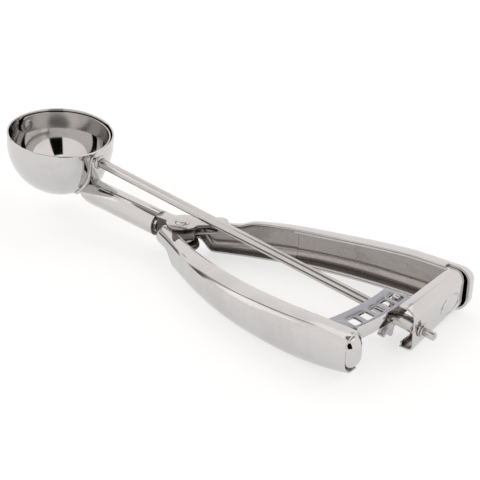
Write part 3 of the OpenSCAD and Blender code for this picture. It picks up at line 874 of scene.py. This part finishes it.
def band_place(angle, tail=0.0):
    """The arm turns in behind the shell, and its top comes down to the rack's level."""
    n = Vector((math.sin(math.radians(angle)), math.cos(math.radians(angle))))
    p = BAND_CENTRE + (BAND_R - BAND_FLANGE) * n + tail * Vector((n.y, -n.x))
    top = blend(HEIGHT_REAR, BAND_TOP, ease(3 * angle / BAND_TURN))
    return Place(p, n, BAND_FLANGE + NEST, end_lift(SHELL_END), top)


bm = bmesh.new()
places = run(LEG_START, LEG_STOP, LEG_STEPS, True)
places += [band_place(BAND_TURN * i / BAND_STEPS) for i in range(BAND_STEPS + 1)]
places.append(band_place(BAND_TURN, BAND_TAIL))
channel(bm, places, NEST, -1)
new_piece("rack_arm_channel", bm, "rack_arm", trim=[bare_sheet_and_inner_shade])

# %% [markdown]
# ## The bowl and the scraper
# The bowl is spun from one disc, so its wall is a profile turned round the upright axis: a
# sphere that runs into a short straight band, with a rounded lip. The scraper is a strip of
# spring steel bent in one direction only, so it stands off the sphere, with round ends where it
# is pinned.

# %% Bowl
BOWL_R, BOWL_WALL, BOWL_BAND = 25.0, 1.0, 5.6
BOWL_STEPS, SPIN_STEPS, LIP_STEPS = 40, 160, 8
COLLAR_BORE_R, PIN_BORE_R, TIP_BORE_R = 3.38, 1.53, 1.56
UPRIGHT = Matrix.Rotation(TILT, 4, "Y")


def in_bowl(x, y, z):
    """A point in the bowl's own frame, whose X runs along the rod, put in place."""
    return (BOWL + UPRIGHT @ Vector((x, y, z))) * MM


def spun(bm, profile, steps):
    """Turns a profile of (radius, height) round the bowl's axis, on which both its ends lie."""
    bottom = bm.verts.new(in_bowl(0, 0, profile[0][1]))
    top = bm.verts.new(in_bowl(0, 0, profile[-1][1]))
    rings = [
        [bm.verts.new(in_bowl(r * math.cos(a), r * math.sin(a), z))
         for a in [math.tau * i / steps for i in range(steps)]]
        for r, z in profile[1:-1]
    ]
    for i in range(steps):
        j = (i + 1) % steps
        bm.faces.new((bottom, rings[0][j], rings[0][i]))
        for low, high in zip(rings, rings[1:]):
            bm.faces.new((low[i], low[j], high[j], high[i]))
        bm.faces.new((rings[-1][i], rings[-1][j], top))


def bowl_profile():
    outer, inner = BOWL_R + BOWL_WALL, BOWL_R
    angles = [math.pi / 2 * i / BOWL_STEPS for i in range(BOWL_STEPS + 1)]
    down = [(outer * math.sin(a), -outer * math.cos(a)) for a in angles]
    lip_r = BOWL_WALL / 2
    middle = inner + lip_r
    lip = [
        (middle + lip_r * math.cos(a), BOWL_BAND - lip_r + lip_r * math.sin(a))
        for a in [math.pi * i / LIP_STEPS for i in range(LIP_STEPS + 1)]
    ]
    return down + lip + [(inner * math.sin(a), -inner * math.cos(a)) for a in reversed(angles)]


bm = bmesh.new()
spun(bm, bowl_profile(), SPIN_STEPS)
bowl = new_piece("bowl_shell", bm, "bowl", recalc=True)
cut(bowl, round_cutter(rod_place(BOWL_R + 0.5), COLLAR_BORE_R, 6, ALONG_ROD))
cut(bowl, round_cutter(rod_place(-BOWL_R - 0.5), PIN_BORE_R, 6, ALONG_ROD))

# %% Scraper strip
BLADE_OUT, BLADE_T, BLADE_W = 24.2, 0.6, 8.8
BLADE_STEPS, BLADE_ROWS, END_STEPS = 96, 10, 8


def blade_half(angle):
    """Half of the strip's width at an angle round the bowl, with a round end at each pole."""
    past = BLADE_OUT * max(0.0, -math.sin(angle))
    return math.sqrt(max(0.0, (BLADE_W / 2) ** 2 - past ** 2))


past_pole = math.asin(BLADE_W / 2 / BLADE_OUT) * 0.995
span = [blend(-past_pole, math.pi + past_pole, i / BLADE_STEPS) for i in range(BLADE_STEPS + 1)]
quarter = [math.pi / 2 * i / END_STEPS for i in range(END_STEPS)]
ends = [-past_pole + past_pole * (1 - math.cos(q)) for q in quarter]
span = ends + [a for a in span if 0.0 <= a <= math.pi] + [math.pi - a for a in reversed(ends)]
bm = bmesh.new()


def blade_row(radius, a):
    across = [blade_half(a) * (2 * j / BLADE_ROWS - 1) for j in range(BLADE_ROWS + 1)]
    return [bm.verts.new(in_bowl(radius * math.cos(a), radius * math.sin(a), z)) for z in across]


sides = [[blade_row(radius, a) for a in span] for radius in (BLADE_OUT, BLADE_OUT - BLADE_T)]
for i in range(len(span) - 1):
    for j in range(BLADE_ROWS):
        for k, grid in enumerate(sides):
            quad = (grid[i][j], grid[i + 1][j], grid[i + 1][j + 1], grid[i][j + 1])
            bm.faces.new(quad if k == 0 else tuple(reversed(quad)))
    for j in (0, BLADE_ROWS):
        bm.faces.new((sides[0][i][j], sides[0][i + 1][j], sides[1][i + 1][j], sides[1][i][j]))
for i in (0, len(span) - 1):
    for j in range(BLADE_ROWS):
        bm.faces.new((sides[0][i][j], sides[0][i][j + 1], sides[1][i][j + 1], sides[1][i][j]))
bmesh.ops.recalc_face_normals(bm, faces=bm.faces)
blade = new_piece("scraper_strip", bm, "scraper_blade")
cut(blade, round_cutter(rod_place(BLADE_OUT - 0.4), PIN_BORE_R, 4, ALONG_ROD))
cut(blade, round_cutter(rod_place(0.4 - BLADE_OUT), TIP_BORE_R, 4, ALONG_ROD))

# %% [markdown]
# ## The front bearing
# The rod runs in a short collar that is pressed through the bowl's strap. It is a turned ring
# with a rounded shoulder, a little proud of the strap.

# %% Front collar
COLLAR_IN, COLLAR_OUT = 2.31, 3.35
COLLAR_START, COLLAR_END = 25.1, 28.4
COLLAR_SIDES = 64
profile = [
    (COLLAR_IN, COLLAR_START), (COLLAR_OUT, COLLAR_START), (COLLAR_OUT, COLLAR_END - 1.2),
    (COLLAR_OUT - 0.12, COLLAR_END - 0.8), (COLLAR_OUT - 0.4, COLLAR_END - 0.45),
    (COLLAR_OUT - 0.8, COLLAR_END - 0.3), (COLLAR_IN + 0.1, COLLAR_END - 0.3),
    (COLLAR_IN, COLLAR_END - 0.4),
]
bm = bmesh.new()
angles = [math.tau * i / COLLAR_SIDES for i in range(COLLAR_SIDES)]
rows = [
    [bm.verts.new(in_bowl(s, r * math.cos(a), r * math.sin(a))) for a in angles] for r, s in profile
]
for near, far in zip(rows, rows[1:] + rows[:1]):
    for i in range(COLLAR_SIDES):
        j = (i + 1) % COLLAR_SIDES
        bm.faces.new((near[i], near[j], far[j], far[i]))
new_piece("front_collar", bm, "front_bush", recalc=True)

# %% [markdown]
# ## The spring, by Geometry Nodes
# A torsion spring is a wire that follows a rule, so a node tree makes it: a round profile is
# carried along a path. The path is a plain curve with the straight leg and the turns.

# %% The wire tree
def wire_tree():
    tree = bpy.data.node_groups.new("wire along a path", "GeometryNodeTree")
    sockets = tree.interface
    sockets.new_socket("Path", in_out="INPUT", socket_type="NodeSocketGeometry")
    sockets.new_socket("Wire radius", in_out="INPUT", socket_type="NodeSocketFloat")
    sockets.new_socket("Sides", in_out="INPUT", socket_type="NodeSocketInt")
    sockets.new_socket("Finish", in_out="INPUT", socket_type="NodeSocketMaterial")
    sockets.new_socket("Wire", in_out="OUTPUT", socket_type="NodeSocketGeometry")
    given = tree.nodes.new("NodeGroupInput")
    result = tree.nodes.new("NodeGroupOutput")
    profile = tree.nodes.new("GeometryNodeCurvePrimitiveCircle")
    sweep = tree.nodes.new("GeometryNodeCurveToMesh")
    sweep.inputs["Fill Caps"].default_value = True
    real = tree.nodes.new("GeometryNodeRealizeInstances")
    paint = tree.nodes.new("GeometryNodeSetMaterial")
    link = tree.links.new
    link(given.outputs["Sides"], profile.inputs["Resolution"])
    link(given.outputs["Wire radius"], profile.inputs["Radius"])
    link(given.outputs["Path"], sweep.inputs["Curve"])
    link(profile.outputs["Curve"], sweep.inputs["Profile Curve"])
    link(sweep.outputs["Mesh"], real.inputs["Geometry"])
    link(real.outputs["Geometry"], paint.inputs["Geometry"])
    link(given.outputs["Finish"], paint.inputs["Material"])
    link(paint.outputs["Geometry"], result.inputs["Wire"])
    return tree


def run_tree(obj, tree, values):
    """Runs a node tree on an object and returns the result as a plain mesh."""
    modifier = obj.modifiers.new("tree", "NODES")
    modifier.node_group = tree
    names = {item.name: item.identifier for item in tree.interface.items_tree}
    for name, value in values.items():
        modifier[names[name]] = value
    graph = bpy.context.evaluated_depsgraph_get()
    mesh = bpy.data.meshes.new_from_object(obj.evaluated_get(graph))
    bpy.data.objects.remove(obj)
    return mesh


# %% The spring's two legs
WIRE_R = 0.65
COIL_R = 4.9
COIL_TURNS = 3
COIL_STEP = 2 * WIRE_R + 0.12
COIL_LOW = NOSE_LOW + LUG_T + SLIDE_GAP + WIRE_R
LEG_T = 0.17
LOW_GAP, HIGH_GAP = WIRE_R + 0.15, WIRE_R + 1.95
TURN_STEPS = 48
WIRE_SIDES = 16
SPLIT_ANGLE = math.radians(6)


def leg_rest(gap):
    place = line_place(LEG_T)
    return place.p + place.v * (place.depth - SHEET - gap)


def tangent(p):
    return math.atan2(p.y, p.x) + math.acos(COIL_R / p.length)


COIL_START = tangent(leg_rest(LOW_GAP))
COIL_END = COIL_START + math.tau * COIL_TURNS
MOVING_START = COIL_END + SPLIT_ANGLE
MOVING_END = math.tau * (COIL_TURNS + 1) - tangent(leg_rest(HIGH_GAP))


def coil_points(start, end):
    count = math.ceil((end - start) / math.tau * TURN_STEPS)
    angles = [blend(start, end, i / count) for i in range(count + 1)]
    return [
        Vector((
            COIL_R * math.cos(a), COIL_R * math.sin(a),
            COIL_LOW + COIL_STEP * (a - COIL_START) / math.tau,
        ))
        for a in angles
    ]


def wire(name, node, points):
    curve = bpy.data.curves.new(name, "CURVE")
    curve.dimensions = "3D"
    spline = curve.splines.new("POLY")
    spline.points.add(len(points) - 1)
    for target, p in zip(spline.points, points):
        target.co = (*((p + Vector((PIVOT.x, 0, 0))) * MM), 1)
    path = bpy.data.objects.new(name + "_path", curve)
    bpy.context.scene.collection.objects.link(path)
    mesh = run_tree(path, wire_tree(), {
        "Wire radius": WIRE_R * MM, "Sides": WIRE_SIDES, "Finish": finishes[slot_of_node[node]],
    })
    mesh.shade_smooth()
    mesh.set_sharp_from_angle(angle=SHARP_ANGLE)
    mesh.name = name
    piece = bpy.data.objects.new(name, mesh)
    bpy.context.scene.collection.objects.link(piece)
    return dress(piece, node)


fixed_tip = Vector((*leg_rest(LOW_GAP), COIL_LOW))
wire("spring_turns", "spring_coil", [fixed_tip] + coil_points(COIL_START, COIL_END))
moving = coil_points(MOVING_START, MOVING_END)
rest = leg_rest(HIGH_GAP)
free_tip = Vector((rest.x, -rest.y, moving[-1].z))
wire("spring_free_leg", "spring_moving_leg", moving + [free_tip])

# %% [markdown]
# ## The pinion
# The star wheel's teeth have to fit the rack's holes, so its shape isn't drawn again: it is
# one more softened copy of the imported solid, with a small bevel on its teeth.

# %% Pinion
softened("pinion", "star_pinion", 0.2)

# %% [markdown]
# ## The stage
# Bright metal shows its surroundings more than itself, and in an even white room it goes
# flat. So it stands on white paper in a small studio with bright walls and one black flag
# beside the lens, which gives the metal its crisp dark bands. The paper takes the shadow, and
# its white is partly its own, so that the shadow stays faint. The metal sees that white as
# well, because a mirror that showed another floor would look pasted in.

# %% Floor
scene = bpy.context.scene
scene.view_settings.view_transform = "Standard"
FLOOR_SIZE = 6.0
FLOOR_GLOW = 0.58
FLOOR_DROP = 0.0001
PAPER_DARK, PAPER_LIGHT = (0.49, 0.49, 0.49), (0.51, 0.51, 0.51)
bpy.ops.mesh.primitive_plane_add(size=FLOOR_SIZE, location=(0, 0, -FLOOR_DROP))
floor = bpy.context.object
floor.name = "floor"
paper = Finish("white paper")
grain = paper.noise(paper.object_coordinates(), 60.0, 3.0, 0.5)
rays = paper.node("ShaderNodeLightPath")
camera_ray, glossy_ray, glass_ray = [
    paper.value(rays.outputs[f"Is {kind} Ray"]) for kind in ("Camera", "Glossy", "Transmission")
]
seen = (camera_ray + glossy_ray + glass_ray).clamped()
floor.data.materials.append(paper.done(
    Base_Color=paper.mix(grain, PAPER_DARK, PAPER_LIGHT), Roughness=0.9,
    Emission_Color=paper.mix(seen, (0.0, 0.0, 0.0), (FLOOR_GLOW,) * 3),
    Emission_Strength=1.0,
))
print("floor:", FLOOR_SIZE, "m wide")

# %% [markdown]
# ## The studio's walls
# Metal needs something dark to show, so cards and stands are painted into the world by their
# direction: a heading round the room and a height above the horizon. What lies below the
# horizon wouldn't show, because the floor hides it.

# %% Directions in the studio
world = bpy.data.worlds.new("studio")
scene.world = world
world.use_nodes = True
tree = world.node_tree
tree.nodes.clear()


def sky(kind, **inputs):
    made = tree.nodes.new(kind)
    for name, value in inputs.items():
        name = name.replace("_", " ")
        if isinstance(value, bpy.types.NodeSocket):
            tree.links.new(value, made.inputs[name])
        else:
            made.inputs[name].default_value = value
    return made


direction = sky("ShaderNodeTexCoord").outputs["Generated"]
axes = sky("ShaderNodeSeparateXYZ", Vector=direction)
east, north, up = [Value(tree, axes.outputs[i]) for i in range(3)]
level = (east * east + north * north + 1e-6).math("SQRT")


def sector(heading, half, soft):
    """1 within half degrees of a heading, 0 beyond."""
    a = math.radians(heading)
    outer, inner = [math.cos(math.radians(half + side)) for side in (soft, -soft)]
    return ((east * math.cos(a) + north * math.sin(a)) / level).between(outer, inner)


def layer(low, high, soft):
    """1 between two elevations in degrees."""
    low_from, low_to, high_from, high_to = [
        math.sin(math.radians(e)) for e in (low - soft, low + soft, high - soft, high + soft)
    ]
    return up.between(low_from, low_to) * (1 - up.between(high_from, high_to))


# %% World
BRIGHT = 1.1
FRONT_DARK, FRONT_GAIN = 0.15, 0.87
PANELS = {
    "grey card behind": (sector(113, 5, 3), layer(36, 52, 4), 0.45),
    "dark ceiling": (1.0, up.between(0.90, 0.925), 0.07),
    "thin stand, left": (sector(-168, 3, 2), layer(-4, 58, 3), 0.12),
    "black flag": (sector(-31, 15.5, 1.2), layer(-4, 52, 1), 0.004),
}
front = sector(-122, 64, 10) * (1 - up.between(0.0, 0.1))
light = BRIGHT - front * (BRIGHT - FRONT_DARK - FRONT_GAIN * up.between(-0.86, 0.12))
for across, height, brightness in PANELS.values():
    light = light + height * across * (brightness - light)
WARM_GREEN, WARM_BLUE = 0.952, 0.935
shade = sky(
    "ShaderNodeCombineColor",
    Red=light.socket, Green=(light * WARM_GREEN).socket, Blue=(light * WARM_BLUE).socket
)
paths = sky("ShaderNodeLightPath").outputs
in_view = Value(tree, paths["Is Camera Ray"]) + Value(tree, paths["Is Transmission Ray"])
white = sky("ShaderNodeBackground", Color=(1, 1, 1, 1), Strength=1.0)
room = sky("ShaderNodeBackground", Color=shade.outputs[0], Strength=1.0)
both = sky("ShaderNodeMixShader", Fac=in_view.socket)
tree.links.new(room.outputs[0], both.inputs[1])
tree.links.new(white.outputs[0], both.inputs[2])
sky("ShaderNodeOutputWorld", Surface=both.outputs[0])
print("studio panels:", ", ".join(PANELS))

# %% [markdown]
# ## The lamps
# Two large square lamps stay weak, because the bright walls already light the metal. They
# only shape the shadow and add a soft highlight.

# %% Lamps
LAMPS = {
    "top_softbox": ((0.05, 0.15, 0.75), 0.9, 0.5),
    "left_softbox": ((-0.7, -0.35, 0.45), 0.45, 0.2),
}


def softbox(name, place, size, power):
    data = bpy.data.lights.new(name, "AREA")
    data.shape = "SQUARE"
    data.size = size
    data.energy = power
    lamp = bpy.data.objects.new(name, data)
    turn = (-Vector(place)).to_track_quat("-Z", "Y").to_matrix().to_4x4()
    lamp.matrix_world = Matrix.Translation(place) @ turn
    scene.collection.objects.link(lamp)


for name, (place, size, power) in LAMPS.items():
    softbox(name, place, size, power)
print("lamps:", ", ".join(LAMPS))
